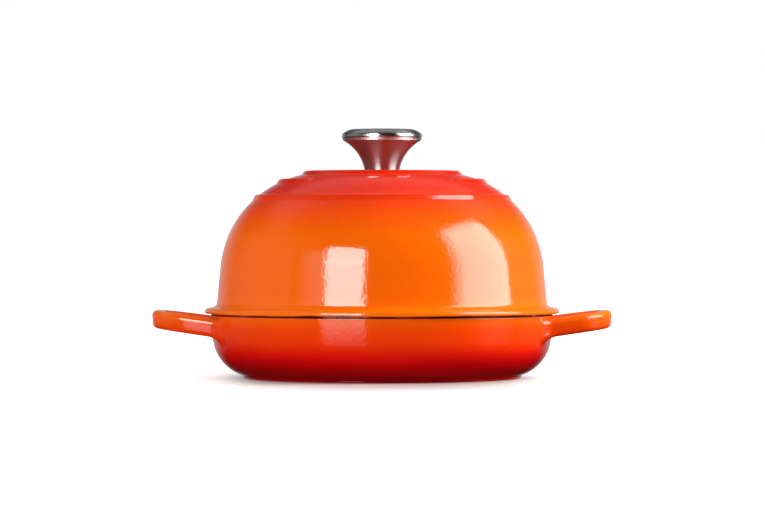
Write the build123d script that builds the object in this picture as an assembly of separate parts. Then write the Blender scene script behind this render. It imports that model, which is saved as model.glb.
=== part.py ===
"""A cast-iron bread cloche: a shallow dish with two loop handles, and a domed lid with a steel knob.

Millimetres, +Z up. The origin is the centre of the foot ring's underside, +X runs through the handles,
and -Y is the front. Each piece is written to its own STEP file in parts/.
"""

from build123d import *
import math
import os

# Dish casting. The rim radius is taken at the top of the wall, before its edges are rounded, and the foot
# is set in from where the wall would meet the underside. Ridges fill the flat part of the floor
DISH_RIM_RADIUS = 127.9
DISH_HEIGHT = 46.5
DISH_WALL = 4.2
DISH_FLARE_DEG = 8.3
DISH_ROUND_RADIUS = 31.0
DISH_RIM_OUTER_ROUNDING = 1.6
DISH_RIM_INNER_ROUNDING = 0.8
FOOT_INSET = 18.05
FOOT_RING_WIDTH = 9.0
FOOT_RING_HEIGHT = 0.9
FOOT_EDGE_ROUNDING = 2.0
RIDGE_FIRST_RADIUS = 30.0
RIDGE_PITCH = 10.0
RIDGE_WIDTH = 3.6
RIDGE_HEIGHT = 1.2

# Loop handles, cast in one with the dish. They stand out from the rim, and their depth and drop are taken
# where the bar meets the rim's radius
HANDLE_STANDOUT = 42.1
HANDLE_END_WIDTH = 72.0
HANDLE_SPLAY_DEG = 12.8
HANDLE_BAR = 10.5
HANDLE_CORNER_RADIUS = 32.0
HANDLE_TOP_DROP = 1.0
HANDLE_DEPTH = 13.8
HANDLE_TOP_TILT_DEG = 7.4
HANDLE_UNDERSIDE_TILT_DEG = 8.0
HANDLE_EDGE_ROUNDING = 4.0
HANDLE_ROOT_INSET = 6.3
HANDLE_ROOT_FLARE = 18.0
HANDLE_ROOT_ROUNDING = 3.0
HANDLE_FLARE_ROOM_SHARE = 0.94

# Lid casting. Its wall stands inside the dish's rim by the inset, and its flange runs past the rim
LID_WALL_INSET = 4.7
LID_DRAFT_DEG = 5.6
LID_DOME_HEIGHT = 105.75
LID_CROWN_RADIUS = 77.1
LID_WALL = 3.8
LID_FLANGE_OVERHANG = 3.3
LID_FLANGE_THICKNESS = 3.9
LID_FLANGE_SLOPE_DEG = 14.0
LID_FLANGE_RELIEF = 0.9
LID_FLANGE_FILLET = 3.8
LID_FLANGE_TOP_ROUNDING = 2.4
LID_FLANGE_BOTTOM_ROUNDING = 0.9
LID_SEAT_SETBACK = 1.6
LID_LIP_DEPTH = 3.2
LID_LIP_CLEARANCE = 0.7
LID_LIP_ROUNDING = 0.8

# Stepped rings on the crown, from the lid's wall inwards: how far each flat top's edge is set in from the
# wall or from the ring outside it, its rise over the dome there, and the run of its side
SHOULDER_RING_INSET = 29.1
SHOULDER_RING_RISE = 2.7
SHOULDER_RING_SIDE_RUN = 1.7
MIDDLE_RING_INSET = 18.3
MIDDLE_RING_RISE = 2.4
MIDDLE_RING_SIDE_RUN = 2.5
MIDDLE_RING_GAP_DEG = 87.0
PLATEAU_INSET = 18.5
PLATEAU_RISE = 1.05
PLATEAU_SIDE_RUN = 2.3
RING_EDGE_ROUNDING = 0.8
RING_END_SLOPE_DEG = 45.0
RING_ROOT_SHARE = 0.6

# Steel knob. The flare's waist is the narrowest point that its arc would reach, a little below the plateau
KNOB_WAIST_RADIUS = 12.4
KNOB_WAIST_DROP = 5.0
KNOB_MOUTH_RADIUS = 28.75
KNOB_SKIRT_HEIGHT = 22.5
KNOB_SHEET = 1.0
KNOB_FOOT_SHEET = 1.2
KNOB_CAP_HEIGHT = 8.4
KNOB_RIM_OVERHANG = 1.05
KNOB_RIM_BAND = 2.0
KNOB_TOP_INSET = 5.5
KNOB_SHOULDER_DROP = 3.6
KNOB_SHOULDER_ROUNDING = 10.4
KNOB_BAND_ROUNDED_SHARE = 0.867

# Threaded insert, screw and washer that hold the knob through the lid
INSERT_NECK_RADIUS = 8.4
INSERT_NECK_CLEARANCE = 0.2
INSERT_FLANGE_THICKNESS = 2.2
INSERT_FLANGE_CLEARANCE = 0.5
INSERT_BODY_RADIUS = 6.5
INSERT_END_WALL = 2.0
SCREW_RADIUS = 3.0
SCREW_LENGTH = 17.0
SCREW_THREAD_CLEARANCE = 0.05
SCREW_TIP_CLEARANCE = 0.8
SCREW_HOLE_CLEARANCE = 0.4
SCREW_HEAD_RADIUS = 6.0
SCREW_HEAD_HEIGHT = 3.4
SCREW_HEAD_ROUNDING = 1.6
SCREW_SLOT_WIDTH = 1.6
SCREW_SLOT_DEPTH = 1.7
WASHER_RADIUS = 9.0
WASHER_THICKNESS = 1.5
WASHER_HOLE_CLEARANCE = 0.25

# How far every cutting or joining tool runs past what it meets
OVERRUN = 5.0

# Heights and places that follow from the sizes above
dish_floor_height = FOOT_RING_HEIGHT + DISH_WALL
handle_root_radius = DISH_RIM_RADIUS - DISH_WALL
handle_reach = DISH_RIM_RADIUS + HANDLE_STANDOUT
lid_seat_radius = DISH_RIM_RADIUS - LID_WALL_INSET
lid_flange_radius = DISH_RIM_RADIUS + LID_FLANGE_OVERHANG
shoulder_ring_radius = lid_seat_radius - SHOULDER_RING_INSET
middle_ring_radius = shoulder_ring_radius - MIDDLE_RING_INSET
plateau_radius = middle_ring_radius - PLATEAU_INSET
lid_top_height = DISH_HEIGHT + LID_DOME_HEIGHT
lid_ceiling_height = lid_top_height - LID_WALL
plateau_height = lid_top_height + PLATEAU_RISE
ring_root_depth = LID_WALL * RING_ROOT_SHARE
knob_seam_height = plateau_height + KNOB_SKIRT_HEIGHT
knob_flare_height = KNOB_SKIRT_HEIGHT + KNOB_WAIST_DROP
knob_flare_run = KNOB_MOUTH_RADIUS - KNOB_WAIST_RADIUS
knob_flare_radius = (knob_flare_run**2 + knob_flare_height**2) / (2 * knob_flare_run)
screw_seat_height = lid_ceiling_height - WASHER_THICKNESS
screw_tip_height = screw_seat_height + SCREW_LENGTH


def run_over(height, angle_deg):
    """Sideways run of a slope that leans by an angle over a height."""
    return height * math.tan(math.radians(angle_deg))


def across(thickness, angle_deg):
    """Level width of a wall of a thickness that leans by an angle."""
    return thickness / math.cos(math.radians(angle_deg))


def outline(*points):
    """Closed face through points."""
    return make_face(Polyline(*points, close=True))


def rounded(section, corner, radius):
    """A section with the corner nearest to a point rounded."""
    return fillet(section.vertices().sort_by_distance(corner)[0], radius)


def turned(section, sweep_deg=360):
    """A section of (radius, height) points revolved about the upright axis."""
    return revolve(Plane.XZ * section, Axis.Z, sweep_deg)


# Dish


def dish_wall_radius(height):
    """Radius of the dish wall's outer face, before the bottom round."""
    return DISH_RIM_RADIUS - run_over(DISH_HEIGHT - height, DISH_FLARE_DEG)


def dish_bore_radius(height):
    """Radius of the dish wall's inner face."""
    return dish_wall_radius(height) - across(DISH_WALL, DISH_FLARE_DEG)


def dish_floor_radius():
    """Radius at which the flat of the cooking floor ends and the round into the wall begins."""
    round_run = run_over(DISH_ROUND_RADIUS - DISH_WALL, (90 - DISH_FLARE_DEG) / 2)
    return dish_bore_radius(dish_floor_height) - round_run


def dish_blank_section():
    """Half section of the dish as if it were solid, without its foot ring."""
    bottom = (dish_wall_radius(FOOT_RING_HEIGHT), FOOT_RING_HEIGHT)
    rim = (DISH_RIM_RADIUS, DISH_HEIGHT)
    section = outline((0, FOOT_RING_HEIGHT), bottom, rim, (0, DISH_HEIGHT))
    section = rounded(section, bottom, DISH_ROUND_RADIUS)
    return rounded(section, rim, DISH_RIM_OUTER_ROUNDING)


def dish_cavity_section():
    """Half section of the space inside the dish."""
    corner = (dish_bore_radius(dish_floor_height), dish_floor_height)
    mouth_height = DISH_HEIGHT + OVERRUN
    mouth = (dish_bore_radius(mouth_height), mouth_height)
    section = outline((0, dish_floor_height), corner, mouth, (0, mouth_height))
    return rounded(section, corner, DISH_ROUND_RADIUS - DISH_WALL)


def foot_ring_section():
    """Half section of the ring that the dish stands on."""
    outer = dish_wall_radius(FOOT_RING_HEIGHT) - FOOT_INSET
    inner = outer - FOOT_RING_WIDTH
    edge = (outer, 0)
    top = FOOT_RING_HEIGHT + DISH_WALL / 2
    section = outline((inner, 0), edge, (outer, top), (inner, top))
    section = rounded(section, edge, FOOT_EDGE_ROUNDING)
    return section - dish_cavity_section()


def ridge_section(radius):
    """Half section of one low ridge on the cooking floor, as a bow that stands on the floor."""
    inner, outer = radius - RIDGE_WIDTH / 2, radius + RIDGE_WIDTH / 2
    root = dish_floor_height - DISH_WALL / 2
    bow = ThreePointArc(
        (inner, dish_floor_height),
        (radius, dish_floor_height + RIDGE_HEIGHT),
        (outer, dish_floor_height),
    )
    sides = Polyline((outer, dish_floor_height), (outer, root), (inner, root), (inner, dish_floor_height))
    return make_face(bow + sides)


def handle_half_width(reach):
    """Half width over both side bars of a loop handle at a distance from the axis."""
    return HANDLE_END_WIDTH / 2 + run_over(handle_reach - reach, HANDLE_SPLAY_DEG)


def handle_contour(reach, inset, corner_radius):
    """Plan of a loop's outer or inner edge, from the axis of the dish out to its reach."""
    inner_half = handle_half_width(0) - inset
    outer_half = handle_half_width(reach) - inset
    corners = [(reach, -outer_half), (reach, outer_half)]
    contour = outline((0, -inner_half), *corners, (0, inner_half))
    for corner in corners:
        contour = rounded(contour, corner, corner_radius)
    return contour


def handle_hole_flare():
    """Radius of the flares beside the finger hole, limited by the straight part of the side bars."""
    splay = math.radians(HANDLE_SPLAY_DEG)
    corner_run = run_over(HANDLE_CORNER_RADIUS - HANDLE_BAR, (90 - HANDLE_SPLAY_DEG) / 2)
    reach = handle_reach - HANDLE_BAR - corner_run * math.cos(splay)
    half_width = handle_half_width(reach) - across(HANDLE_BAR, HANDLE_SPLAY_DEG)
    room = reach**2 + half_width**2 - handle_root_radius**2
    lean = reach * math.sin(splay) + half_width * math.cos(splay)
    return min(HANDLE_ROOT_FLARE, HANDLE_FLARE_ROOM_SHARE * room / (2 * (handle_root_radius + lean)))


def handle_flare_foot():
    """Distance from the YZ plane at which the outer flares run into the wall of the dish."""
    lean = math.tan(math.radians(HANDLE_SPLAY_DEG))
    half_width = handle_half_width(0) + across(HANDLE_ROOT_FLARE, HANDLE_SPLAY_DEG)
    centre_radius = handle_root_radius + HANDLE_ROOT_FLARE
    width_run = half_width * lean
    reach = width_run + math.sqrt(width_run**2 - (1 + lean**2) * (half_width**2 - centre_radius**2))
    return reach / (1 + lean**2) * handle_root_radius / centre_radius


def root_corners(plan, outside):
    """Corners of a loop's plan on the root circle, at the outside or the finger hole side of its bars."""
    corners = []
    for corner in plan.vertices():
        at_root = math.isclose(math.hypot(corner.X, corner.Y), handle_root_radius, rel_tol=1e-6)
        beyond_bar = abs(corner.Y) > handle_half_width(corner.X) - HANDLE_BAR / 2
        if at_root and corner.X > 0 and beyond_bar == outside:
            corners.append(corner)
    return corners


def handle_plan():
    """Plan of one loop with its roots flared into the wall of the dish."""
    loop = handle_contour(handle_reach, 0, HANDLE_CORNER_RADIUS)
    loop -= handle_contour(
        handle_reach - HANDLE_BAR,
        across(HANDLE_BAR, HANDLE_SPLAY_DEG),
        HANDLE_CORNER_RADIUS - HANDLE_BAR,
    )
    plan = loop + Circle(handle_root_radius)
    far_side = Rectangle(2 * handle_reach, 2 * handle_reach, align=(Align.MAX, Align.CENTER))
    plan -= far_side
    plan = fillet(root_corners(plan, outside=False), handle_hole_flare())
    return fillet(root_corners(plan, outside=True), HANDLE_ROOT_FLARE)


def handle_side_view():
    """Side view of one loop, as (distance from the axis, height) points."""
    inner = handle_flare_foot() - HANDLE_ROOT_INSET
    outer = handle_reach + OVERRUN
    top = DISH_HEIGHT - HANDLE_TOP_DROP
    underside = top - HANDLE_DEPTH
    return outline(
        (inner, underside + run_over(inner - DISH_RIM_RADIUS, HANDLE_UNDERSIDE_TILT_DEG)),
        (outer, underside + run_over(outer - DISH_RIM_RADIUS, HANDLE_UNDERSIDE_TILT_DEG)),
        (outer, top + run_over(outer - DISH_RIM_RADIUS, HANDLE_TOP_TILT_DEG)),
        (inner, top + run_over(inner - DISH_RIM_RADIUS, HANDLE_TOP_TILT_DEG)),
    )


def handle():
    """One loop handle on the +X side, with its long edges rounded."""
    upright = extrude(handle_plan(), 2 * DISH_HEIGHT)
    loop = upright & extrude(Plane.XZ * handle_side_view(), handle_reach, both=True)
    edges = ShapeList()
    for face in loop.faces():
        if abs(face.normal_at().Z) < math.cos(math.radians(45)):
            continue
        for edge in face.edges():
            middle = edge @ 0.5
            if math.hypot(middle.X, middle.Y) > handle_root_radius + HANDLE_EDGE_ROUNDING / 10:
                edges.append(edge)
    return fillet(edges, HANDLE_EDGE_ROUNDING)


def dish():
    """The dish: pan, foot ring, ridges on the cooking floor, and two loop handles, in one casting."""
    blank = turned(dish_blank_section())
    loops = [handle(), handle().mirror(Plane.YZ)]
    casting = blank + loops
    casting = fillet(new_edges(blank, *loops, combined=casting), HANDLE_ROOT_ROUNDING)
    casting += turned(foot_ring_section())
    casting -= turned(dish_cavity_section())
    mouth_edges = [
        edge
        for edge in casting.edges().filter_by(GeomType.CIRCLE)
        if math.isclose(edge.radius, dish_bore_radius(DISH_HEIGHT), rel_tol=1e-6)
    ]
    casting = fillet(mouth_edges, DISH_RIM_INNER_ROUNDING)
    last_radius = dish_floor_radius() - RIDGE_WIDTH / 2
    for ridge in range(1 + int((last_radius - RIDGE_FIRST_RADIUS) / RIDGE_PITCH)):
        casting += turned(ridge_section(RIDGE_FIRST_RADIUS + ridge * RIDGE_PITCH))
    return casting


# Lid


def lid_wall_radius(height):
    """Radius of the lid wall's outer face, below the crown's round."""
    return lid_seat_radius - run_over(height - DISH_HEIGHT, LID_DRAFT_DEG)


def crown_centre():
    """Centre of the arc that rounds the dome's wall into its flat top, as (radius, height)."""
    height = lid_top_height - LID_CROWN_RADIUS
    return lid_wall_radius(height) - across(LID_CROWN_RADIUS, LID_DRAFT_DEG), height


def crown_height(radius):
    """Height of the smooth crown at a radius."""
    centre_radius, centre_height = crown_centre()
    return centre_height + math.sqrt(LID_CROWN_RADIUS**2 - (radius - centre_radius) ** 2)


def crown_radius(height):
    """Radius of the smooth crown at a height."""
    centre_radius, centre_height = crown_centre()
    return centre_radius + math.sqrt(LID_CROWN_RADIUS**2 - (height - centre_height) ** 2)


def dome_section(foot, top, inset, round_radius):
    """Half section of a solid dome between two heights, inset from the lid's outer face."""
    level_inset = across(inset, LID_DRAFT_DEG)
    shoulder = (lid_wall_radius(top) - level_inset, top)
    section = outline((0, foot), (lid_wall_radius(foot) - level_inset, foot), shoulder, (0, top))
    return rounded(section, shoulder, round_radius)


def flange_section():
    """Half section of the flange, the seat on the dish's rim and the lip that centres the lid."""
    underside = DISH_HEIGHT + LID_FLANGE_RELIEF
    seat_radius = DISH_RIM_RADIUS - LID_SEAT_SETBACK
    lip_foot = DISH_HEIGHT - LID_LIP_DEPTH
    inner_foot = lid_wall_radius(lip_foot) - across(LID_WALL, LID_DRAFT_DEG)
    lip_edge = (dish_bore_radius(lip_foot) - LID_LIP_CLEARANCE, lip_foot)
    lip_root = (dish_bore_radius(DISH_HEIGHT) - LID_LIP_CLEARANCE, DISH_HEIGHT)
    bottom_edge = (lid_flange_radius, underside)
    top_edge = (lid_flange_radius, underside + LID_FLANGE_THICKNESS)
    inner_top = top_edge[1] + (lid_flange_radius - inner_foot) * math.tan(math.radians(LID_FLANGE_SLOPE_DEG))
    section = outline(
        (inner_foot, lip_foot),
        lip_edge,
        lip_root,
        (seat_radius, DISH_HEIGHT),
        (seat_radius, underside),
        bottom_edge,
        top_edge,
        (inner_foot, inner_top),
    )
    section = rounded(section, lip_edge, LID_LIP_ROUNDING)
    section = rounded(section, bottom_edge, LID_FLANGE_BOTTOM_ROUNDING)
    return rounded(section, top_edge, LID_FLANGE_TOP_ROUNDING)


def plateau_section():
    """Half section of the flat disc under the knob."""
    edge = (plateau_radius, plateau_height)
    side_foot_radius = plateau_radius + PLATEAU_SIDE_RUN
    side_foot = (side_foot_radius, crown_height(side_foot_radius))
    base_height = side_foot[1] - ring_root_depth
    section = outline((0, base_height), (side_foot_radius, base_height), side_foot, edge, (0, plateau_height))
    return rounded(section, edge, RING_EDGE_ROUNDING)


def ring_section(radius, rise, side_run):
    """Half section of a step ring: a flat top that comes out of the crown and a side that falls to it."""
    top = crown_height(radius) + rise
    edge = (radius, top)
    side_foot_radius = radius + side_run
    side_foot = (side_foot_radius, crown_height(side_foot_radius))
    section = outline(
        (crown_radius(top), top),
        (crown_radius(top), top - ring_root_depth),
        (side_foot_radius, side_foot[1] - ring_root_depth),
        side_foot,
        edge,
    )
    return rounded(section, edge, RING_EDGE_ROUNDING)


def middle_ring():
    """The ring that stops short of the front on both sides, where its ends slope down to the crown."""
    section = ring_section(middle_ring_radius, MIDDLE_RING_RISE, MIDDLE_RING_SIDE_RUN)
    half_gap_deg = MIDDLE_RING_GAP_DEG / 2
    half_ring = turned(section, 180 - half_gap_deg)
    end_foot = Vector(0, 0, crown_height(middle_ring_radius + MIDDLE_RING_SIDE_RUN))
    slope = Plane(origin=end_foot, x_dir=(1, 0, 0), z_dir=(0, -1, 0)).rotated((-RING_END_SLOPE_DEG, 0, 0))
    half_ring = split(half_ring, bisect_by=slope, keep=Keep.BOTTOM)
    half_ring = Rot(Z=half_gap_deg - 90) * half_ring
    return half_ring + half_ring.mirror(Plane.YZ)


def lid():
    """The lid: dome, flange and lip, with the plateau and two step rings on its crown."""
    lip_foot = DISH_HEIGHT - LID_LIP_DEPTH
    flange_foot = DISH_HEIGHT + LID_FLANGE_RELIEF
    section = dome_section(flange_foot, lid_top_height, 0, LID_CROWN_RADIUS) + flange_section()
    corner_height = flange_foot + LID_FLANGE_THICKNESS
    section = rounded(section, (lid_wall_radius(corner_height), corner_height), LID_FLANGE_FILLET)
    section += plateau_section()
    section += ring_section(shoulder_ring_radius, SHOULDER_RING_RISE, SHOULDER_RING_SIDE_RUN)
    section -= dome_section(lip_foot - OVERRUN, lid_ceiling_height, LID_WALL, LID_CROWN_RADIUS - LID_WALL)
    hole_radius = SCREW_RADIUS + SCREW_HOLE_CLEARANCE
    hole = Rectangle(hole_radius, plateau_height + OVERRUN, align=(Align.MIN, Align.MIN))
    return turned(section - hole) + middle_ring()


# Knob and its fixing


def flare_radius(height, inset=0):
    """Radius of the knob's flared skirt at a height over the plateau, inset from its outer face."""
    centre_radius = KNOB_WAIST_RADIUS + knob_flare_radius
    return centre_radius - math.sqrt((knob_flare_radius + inset) ** 2 - (height + KNOB_WAIST_DROP) ** 2)


def knob_skirt():
    """Spun skirt: a flared sheet wall on a flat foot with a hole for the insert's neck."""
    centre = (KNOB_WAIST_RADIUS + knob_flare_radius, plateau_height - KNOB_WAIST_DROP)
    wall = Pos(*centre) * (Circle(knob_flare_radius + KNOB_SHEET) - Circle(knob_flare_radius))
    wall &= Pos(0, plateau_height) * Rectangle(centre[0], KNOB_SKIRT_HEIGHT, align=(Align.MIN, Align.MIN))
    hole_radius = INSERT_NECK_RADIUS + INSERT_NECK_CLEARANCE
    inside_foot = flare_radius(0) - KNOB_SHEET / 2
    foot = Pos(hole_radius, plateau_height) * Rectangle(
        inside_foot - hole_radius, KNOB_FOOT_SHEET, align=(Align.MIN, Align.MIN)
    )
    return turned(wall + foot)


def knob_cap():
    """Pressed cap: a shallow hollow cup whose rim stands over the mouth of the skirt."""
    top = knob_seam_height + KNOB_CAP_HEIGHT
    rim_radius = KNOB_MOUTH_RADIUS + KNOB_RIM_OVERHANG
    mouth = (KNOB_MOUTH_RADIUS, knob_seam_height)
    rim_foot = (rim_radius, top - KNOB_SHOULDER_DROP - KNOB_RIM_BAND)
    rim_top = (rim_radius, top - KNOB_SHOULDER_DROP)
    shoulder = (rim_radius - KNOB_TOP_INSET, top)
    foot_turn = math.atan2(KNOB_RIM_OVERHANG, rim_foot[1] - knob_seam_height)
    top_turn = math.atan2(KNOB_TOP_INSET, KNOB_SHOULDER_DROP)
    band_turns = math.tan(foot_turn / 2) + math.tan(top_turn / 2)
    rim_rounding = KNOB_RIM_BAND * KNOB_BAND_ROUNDED_SHARE / band_turns
    section = outline((0, knob_seam_height), mouth, rim_foot, rim_top, shoulder, (0, top))
    section = rounded(section, rim_foot, rim_rounding)
    section = rounded(section, rim_top, rim_rounding)
    section = rounded(section, shoulder, KNOB_SHOULDER_ROUNDING)
    cup = turned(section)
    return offset(cup, -KNOB_SHEET, openings=cup.faces().sort_by(Axis.Z)[0])


def knob_insert():
    """Turned boss inside the skirt: neck through its foot, flange on it, and a blind threaded bore."""
    flange_foot = plateau_height + KNOB_FOOT_SHEET
    flange_top = flange_foot + INSERT_FLANGE_THICKNESS
    flange_radius = flare_radius(KNOB_FOOT_SHEET, KNOB_SHEET) - INSERT_FLANGE_CLEARANCE
    bore_top = screw_tip_height + SCREW_TIP_CLEARANCE
    bore_radius = SCREW_RADIUS + SCREW_THREAD_CLEARANCE
    top = bore_top + INSERT_END_WALL
    section = outline(
        (bore_radius, plateau_height),
        (INSERT_NECK_RADIUS, plateau_height),
        (INSERT_NECK_RADIUS, flange_foot),
        (flange_radius, flange_foot),
        (flange_radius, flange_top),
        (INSERT_BODY_RADIUS, flange_top),
        (INSERT_BODY_RADIUS, top),
        (0, top),
        (0, bore_top),
        (bore_radius, bore_top),
    )
    return turned(section)


def knob_screw():
    """Pan-head screw from inside the dome, with a slot across its head."""
    head_foot = screw_seat_height - SCREW_HEAD_HEIGHT
    head_edge = (SCREW_HEAD_RADIUS, head_foot)
    section = outline(
        (0, head_foot),
        head_edge,
        (SCREW_HEAD_RADIUS, screw_seat_height),
        (SCREW_RADIUS, screw_seat_height),
        (SCREW_RADIUS, screw_tip_height),
        (0, screw_tip_height),
    )
    section = rounded(section, head_edge, SCREW_HEAD_ROUNDING)
    slot = Pos(0, 0, head_foot) * Box(
        2 * SCREW_HEAD_RADIUS + OVERRUN, SCREW_SLOT_WIDTH, 2 * SCREW_SLOT_DEPTH
    )
    return turned(section) - slot


def screw_washer():
    """Flat washer between the screw's head and the ceiling of the dome."""
    hole_radius = SCREW_RADIUS + WASHER_HOLE_CLEARANCE
    section = Pos(hole_radius, screw_seat_height) * Rectangle(
        WASHER_RADIUS - hole_radius, WASHER_THICKNESS, align=(Align.MIN, Align.MIN)
    )
    return turned(section)


def write_parts():
    """Write each piece to its own file."""
    pieces = [dish, lid, knob_skirt, knob_cap, knob_insert, knob_screw, screw_washer]
    os.makedirs("parts", exist_ok=True)
    for piece in pieces:
        export_step(piece(), os.path.join("parts", piece.__name__ + ".step"))


if __name__ == "__main__":
    write_parts()
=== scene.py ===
"""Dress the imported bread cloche: enamelled lid and dish, steel knob and fixings, in a plain white studio.

Metres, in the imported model's own frame: +Z up, +X through the handles, -Y the front.
"""

import math

import bmesh
import bpy
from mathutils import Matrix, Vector


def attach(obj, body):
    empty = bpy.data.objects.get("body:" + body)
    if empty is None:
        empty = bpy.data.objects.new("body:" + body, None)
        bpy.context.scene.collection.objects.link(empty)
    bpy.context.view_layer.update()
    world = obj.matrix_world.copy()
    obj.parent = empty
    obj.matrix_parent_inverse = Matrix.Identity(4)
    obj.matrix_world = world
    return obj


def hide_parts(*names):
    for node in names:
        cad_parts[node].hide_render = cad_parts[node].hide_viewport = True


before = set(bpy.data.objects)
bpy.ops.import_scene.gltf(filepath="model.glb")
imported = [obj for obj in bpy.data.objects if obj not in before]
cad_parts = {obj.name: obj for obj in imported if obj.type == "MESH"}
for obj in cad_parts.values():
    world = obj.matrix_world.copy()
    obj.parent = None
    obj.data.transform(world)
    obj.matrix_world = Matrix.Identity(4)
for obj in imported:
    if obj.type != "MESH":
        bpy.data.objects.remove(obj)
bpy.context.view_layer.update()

bl_info = {
    "name": "Bread cloche",
    "version": (1, 0, 0),
    "blender": (4, 5, 0),
    "location": "View3D > Sidebar > Cloche",
    "description": "Enamelled lid and dish, steel knob and studio of a cast-iron bread cloche",
    "category": "Object",
}

MM = 0.001
WHITE = (1.0, 1.0, 1.0)
ENAMEL_IOR = 1.5

# Finishes of a casting's faces, which are the places of their materials
OUTSIDE, INSIDE, BARE = 0, 1, 2

# Columns around a turned casting, and the longest runs between the points of its section
COLUMNS = 144
SECTION_RUN = 4.0 * MM
CROWN_RUN = 2.4 * MM
ROUND_RUN = 1.8 * MM

# Heights in millimetres, each with the colour of the enamel that is pure there
LID_STOPS = (
    # Seam: the enamel's orange painted dark red as shade in the narrow gap under the flange
    (46.0, "seam"),
    (47.5, "seam"),
    # Flange: lighter orange, painted light from above on the flange's upward top
    (48.3, "flange"),
    (56.0, "flange"),
    (63.0, "body"),
    (106.0, "body"),
    (120.0, "haunch"),
    (131.0, "shoulder"),
    (140.0, "crown"),
    (154.0, "crown"),
)
DISH_STOPS = (
    (0.0, "foot"),
    # Lower belly, upper round and lower round: the enamel's own darkening to deep red, deepened further as
    # painted shade where the dish turns under towards the floor, darkest beside the foot ring
    (8.0, "low_round"),
    (14.0, "high_round"),
    (20.0, "low_belly"),
    (30.0, "belly"),
    (38.0, "high_belly"),
    (44.0, "rim"),
    (46.5, "lip"),
    # Loop end: paler orange high on the loops, partly the enamel's gradient and partly painted light
    # falling on their tops
    (50.0, "loop_end"),
)

# Upright softboxes: name, bearings of the ends and height of the low edge, the same of the high edge,
# distance, share of the softboxes' brightness, fades at left, right, low and high, and band
SOFTBOXES = (
    (
        "softbox left", (-39.0, -11.4, 0.03), (-42.0, -11.4, 1.04), 1.6, 1.0,
        (0.05, 0.05, 0.03, 0.06), 0.3,
    ),
    (
        "softbox left low", (-39.0, -11.4, -0.4), (-39.0, -11.4, -0.02), 1.6, 0.2,
        (0.25, 0.15, 0.3, 0.1), 0.0,
    ),
    (
        "panel left", (-64.0, -37.0, 0.0), (-66.0, -40.0, 0.95), 1.7, 0.085,
        (0.8, 0.02, 0.05, 0.2), 0.0,
    ),
    (
        "softbox right", (46.0, 101.0, 0.06), (46.0, 101.0, 2.05), 1.6, 0.66,
        (0.3, 0.12, 0.04, 0.3), 0.0,
    ),
    (
        "softbox right low", (52.0, 104.0, -0.5), (50.0, 102.0, -0.02), 1.6, 0.045,
        (0.5, 0.5, 0.7, 0.1), 0.0,
    ),
)

# Lamps: name of the lamp and of its power, place and width
LAMPS = (
    ("key", (1.5, -1.2, 1.6), 1.4),
    ("fill", (-2.0, -1.1, 0.9), 1.4),
    ("side", (1.7, 0.06, 0.8), 1.0),
)


def shade(red, green, blue):
    """Linear colour of a screen colour given in steps of 255."""
    linear = []
    for step in (red, green, blue):
        value = step / 255
        linear.append(value / 12.92 if value <= 0.04045 else ((value + 0.055) / 1.055) ** 2.4)
    return tuple(linear)


def length(name, description, default):
    """A length property in metres, given in millimetres."""
    return bpy.props.FloatProperty(
        name=name, description=description, default=default * MM, min=0.0, unit="LENGTH", subtype="DISTANCE"
    )


def angle(name, description, default):
    """An angle property, given in degrees."""
    return bpy.props.FloatProperty(
        name=name, description=description, default=math.radians(default), unit="ROTATION", subtype="ANGLE"
    )


def factor(name, description, default, top=1.0):
    """A plain number between nothing and a top."""
    return bpy.props.FloatProperty(name=name, description=description, default=default, min=0.0, max=top)


def colour(name, description, default):
    """A colour property, given as a linear colour."""
    return bpy.props.FloatVectorProperty(
        name=name, description=description, default=default, size=3, min=0.0, max=1.0, subtype="COLOR"
    )


class LidSizes(bpy.types.PropertyGroup):
    """Sizes of the lid casting."""

    seat_height: length("Seat height", "Height of the dish's rim, on which the lid sits", 46.5)
    seat_radius: length("Seat radius", "Radius of the lid's wall at its seat", 123.2)
    draft: angle("Draft", "Lean of the wall from upright", 5.6)
    dome_height: length("Dome height", "Height of the dome over its seat", 105.75)
    crown_radius: length("Crown radius", "Radius of the round from wall to top", 77.1)
    wall: length("Wall", "Thickness of the casting", 3.8)
    flange_radius: length("Flange radius", "Radius of the rim flange", 131.15)
    flange_thickness: length("Flange thickness", "Height of the flange's edge", 3.4)
    flange_slope: angle("Flange slope", "Slope of the flange's top", 14.0)
    flange_relief: length("Flange relief", "Gap between flange and dish outside the seat", 1.4)
    seat_edge: length("Seat edge", "Outer radius of the seat", 126.3)
    lip_depth: length("Lip depth", "Depth of the centring lip under the seat", 3.2)
    lip_radius: length("Lip radius", "Outer radius of the lip at its foot", 122.49)
    lip_draw: length("Lip draw", "How much wider the lip is at the seat", 0.47)
    plateau_radius: length("Plateau radius", "Radius of the flat disc under the knob", 57.3)
    plateau_rise: length("Plateau rise", "Rise of the disc over the dome", 1.05)
    plateau_run: length("Plateau side run", "Run of the disc's sloping side", 2.3)
    middle_radius: length("Middle ring radius", "Radius of the middle ring's edge", 75.8)
    middle_rise: length("Middle ring rise", "Rise of the middle ring over the dome", 2.4)
    middle_run: length("Middle ring side run", "Run of the middle ring's sloping side", 2.5)
    middle_gap: angle("Middle ring gap", "Angle of the plain place in the middle ring at the front", 87.0)
    middle_taper: angle("Middle ring taper", "Angle in which an end of the ring sinks into the crown", 3.4)
    shoulder_radius: length("Shoulder ring radius", "Radius of the shoulder ring's edge", 94.1)
    shoulder_rise: length("Shoulder ring rise", "Rise of the shoulder ring over the dome", 2.7)
    shoulder_run: length("Shoulder ring side run", "Run of the shoulder ring's sloping side", 1.7)
    ring_rounding: length("Ring rounding", "Rounding of the edges of the disc and the middle ring", 1.8)
    shoulder_rounding: length("Shoulder rounding", "Rounding of the shoulder ring's edge", 1.9)
    flange_root: length("Flange root", "Rounding between the wall and the flange's top", 3.8)
    flange_rounding: length("Flange rounding", "Rounding of the flange's upper edge", 2.4)
    hole_radius: length("Screw hole radius", "Radius of the hole for the knob's screw", 3.4)


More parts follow.
